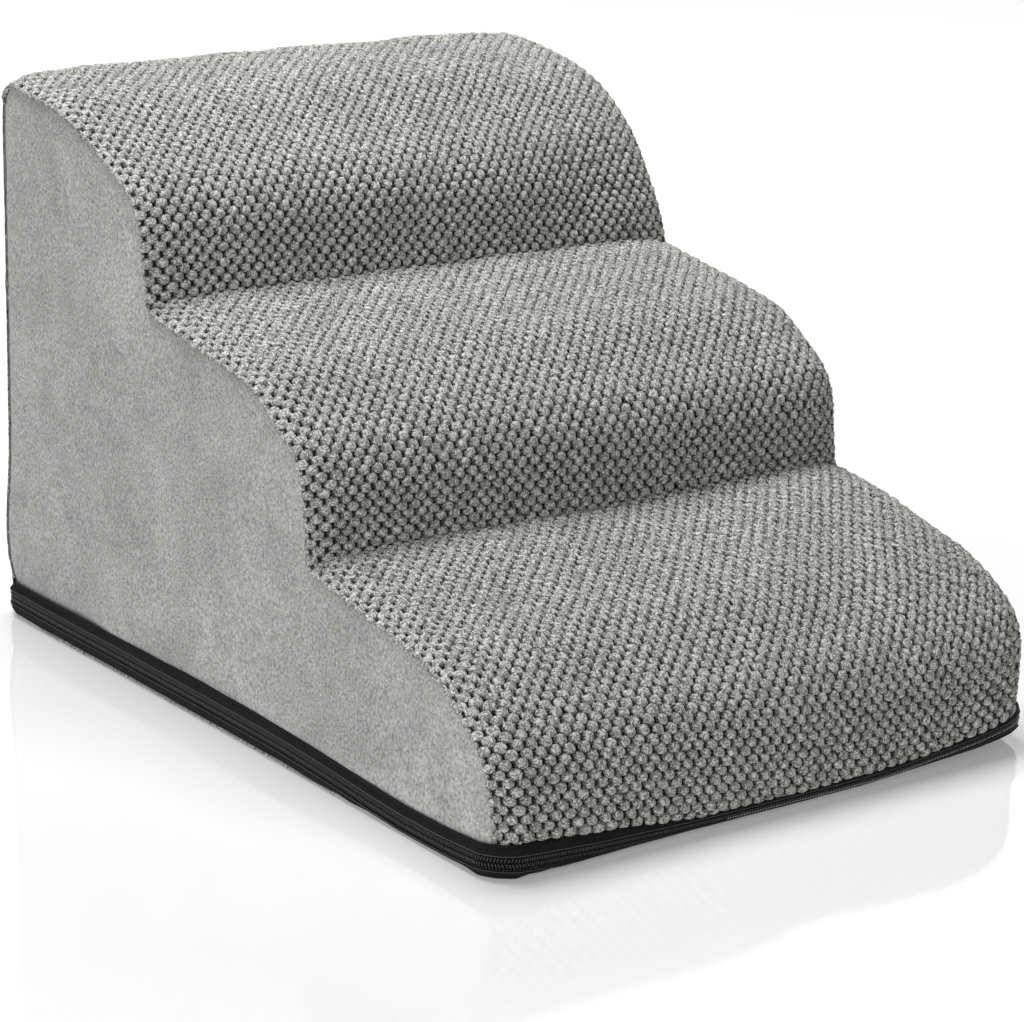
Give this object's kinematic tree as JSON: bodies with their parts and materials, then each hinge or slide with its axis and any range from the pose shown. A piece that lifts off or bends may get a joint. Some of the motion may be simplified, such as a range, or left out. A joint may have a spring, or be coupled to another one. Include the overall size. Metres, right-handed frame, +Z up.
{
  "type": "pet stairs",
  "caption": "Soft foam pet stairs with rounded treads in a bubble-fleece cover that zips onto a black base band.",
  "frame": {"origin": "on the floor, under the middle of the side panels' outline", "axes": "+X across the treads from the left side panel to the right one, +Y from the low front step to the tall back, +Z up"},
  "size_m": [0.4139, 0.5754, 0.3661],
  "materials": {
    "firm_foam": "open-cell polyurethane foam, firm",
    "soft_foam": "open-cell polyurethane foam, soft",
    "bubble_fleece": "long looped pile raised in round bubbles",
    "short_nap": "smooth short nap",
    "black_cloth": "matt woven polyester",
    "bottom_cloth": "matt non-slip cloth",
    "grip_rubber": "matt printed dots",
    "zip_tape": "woven polyester tape",
    "zip_nylon": "satin nylon",
    "black_metal": "satin black paint on cast zinc"
  },
  "bodies": {
    "stairs": {"foam_base_slab": "firm_foam", "foam_middle_slab": "firm_foam", "foam_top_slab": "firm_foam", "soft_wrap": "soft_foam", "step_face_panel": "bubble_fleece", "left_side_panel": "short_nap", "right_side_panel": "short_nap", "upper_strip": "black_cloth", "lower_strip": "black_cloth", "bridge_cloth": "black_cloth", "bottom_panel": "bottom_cloth", "grip_dots": "grip_rubber", "zip_upper_tape": "zip_tape", "zip_lower_tape": "zip_tape", "zip_upper_coil": "zip_nylon", "zip_lower_coil": "zip_nylon", "zip_bottom_stop": "zip_nylon", "zip_top_stops": "black_metal"},
    "slider": {"zip_slider_body": "black_metal", "zip_slider_bail": "black_metal"},
    "pull_tab": {"zip_pull_tab": "black_metal"}
  },
  "joints": [
    {"name": "slider_slide", "type": "slide", "parent": "stairs", "child": "slider", "axis": [0, -1, 0], "range_m": [0, 0.48], "deforming": ["zip_upper_coil", "zip_lower_coil", "zip_upper_tape", "zip_lower_tape"]},
    {"name": "pull_tab_swing", "type": "hinge", "parent": "slider", "child": "pull_tab", "pos_m": [0.2072, 0.239, 0.0125], "axis": [0, 0, 1], "range_deg": [0, 175]}
  ]
}
